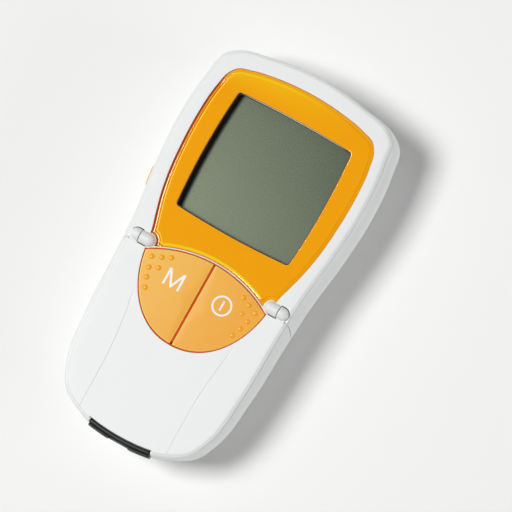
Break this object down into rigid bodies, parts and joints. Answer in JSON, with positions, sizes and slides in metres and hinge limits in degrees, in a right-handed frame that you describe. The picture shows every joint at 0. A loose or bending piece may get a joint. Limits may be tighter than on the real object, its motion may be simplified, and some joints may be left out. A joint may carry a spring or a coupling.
{
  "type": "blood glucose meter",
  "caption": "Handheld blood glucose meter with a large display in an orange bezel, orange buttons and a hinged flap over its measuring chamber and strip slot.",
  "frame": {"origin": "on the table, under the middle of the whole length and width, with the meter on its back", "axes": "+X to the right of the display, +Y towards the display end, +Z out of the display"},
  "size_m": [0.082, 0.154, 0.03],
  "materials": {
    "casing_white": "satin moulded plastic, white",
    "bezel_orange": "glossy moulded plastic, deep orange yellow",
    "key_orange": "soft satin plastic, pale orange",
    "clear_lens": "clear polished acrylic",
    "lcd_green": "liquid-crystal cell, grey green",
    "black_plastic": "black moulded plastic",
    "white_inner": "white moulded plastic, inside",
    "silicone_grey": "grey silicone rubber",
    "zebra_rubber": "layered conductive rubber",
    "board_green": "green circuit board",
    "chip_black": "black epoxy",
    "bright_metal": "plated steel",
    "ir_red": "dark red infrared filter",
    "led_clear": "clear epoxy",
    "battery_sleeve": "plain printed sleeve",
    "foot_rubber": "grey rubber",
    "chamber_glass": "clear glass"
  },
  "bodies": {
    "housing": {"rear_housing": "casing_white", "front_housing": "casing_white", "display_bezel": "bezel_orange", "display_lens": "clear_lens", "lcd_cell": "lcd_green", "lcd_frame": "black_plastic", "lcd_reflector": "white_inner", "contact_strips": "zebra_rubber", "main_board": "board_green", "processor": "chip_black", "memory_chip": "chip_black", "clock_crystal": "bright_metal", "buzzer": "chip_black", "infrared_window": "ir_red", "infrared_diode": "led_clear", "key_mat": "silicone_grey", "memory_switch": "chip_black", "power_switch": "chip_black", "set_switch": "chip_black", "hinge_pin_left": "bright_metal", "hinge_pin_right": "bright_metal", "flap_sensor": "chip_black", "chamber_window": "chamber_glass", "optics_block": "black_plastic", "measuring_leds": "led_clear", "photodiode": "chip_black", "strip_guide": "black_plastic", "battery_1": "battery_sleeve", "battery_2": "battery_sleeve", "battery_3": "battery_sleeve", "battery_4": "battery_sleeve", "plus_contacts": "bright_metal", "minus_contacts": "bright_metal", "rubber_feet": "foot_rubber", "housing_screws": "bright_metal", "board_screws": "bright_metal"},
    "measuring_flap": {"measuring_flap": "casing_white", "light_shield": "black_plastic", "flap_magnet": "bright_metal"},
    "memory_button": {"memory_button": "key_orange"},
    "power_button": {"power_button": "key_orange"},
    "set_button": {"set_button": "key_orange"},
    "battery_cover": {"battery_cover": "casing_white"}
  },
  "joints": [
    {"name": "flap_hinge", "type": "hinge", "parent": "housing", "child": "measuring_flap", "pos_m": [0, -0.0062, 0.0276], "axis": [-1, 0, 0], "range_deg": [0, 95]},
    {"name": "memory_press", "type": "slide", "parent": "housing", "child": "memory_button", "axis": [0, 0, -1], "range_m": [0, 0.0008], "stiffness_N_per_m": 1500},
    {"name": "power_press", "type": "slide", "parent": "housing", "child": "power_button", "axis": [0, 0, -1], "range_m": [0, 0.0008], "stiffness_N_per_m": 1500},
    {"name": "set_press", "type": "slide", "parent": "housing", "child": "set_button", "axis": [0.9924, 0.1228, 0], "range_m": [0, 0.0006], "stiffness_N_per_m": 1800},
    {"name": "cover_hinge", "type": "hinge", "parent": "housing", "child": "battery_cover", "pos_m": [0, 0.0567, 0.0013], "axis": [1, 0, 0], "range_deg": [0, 70]}
  ]
}
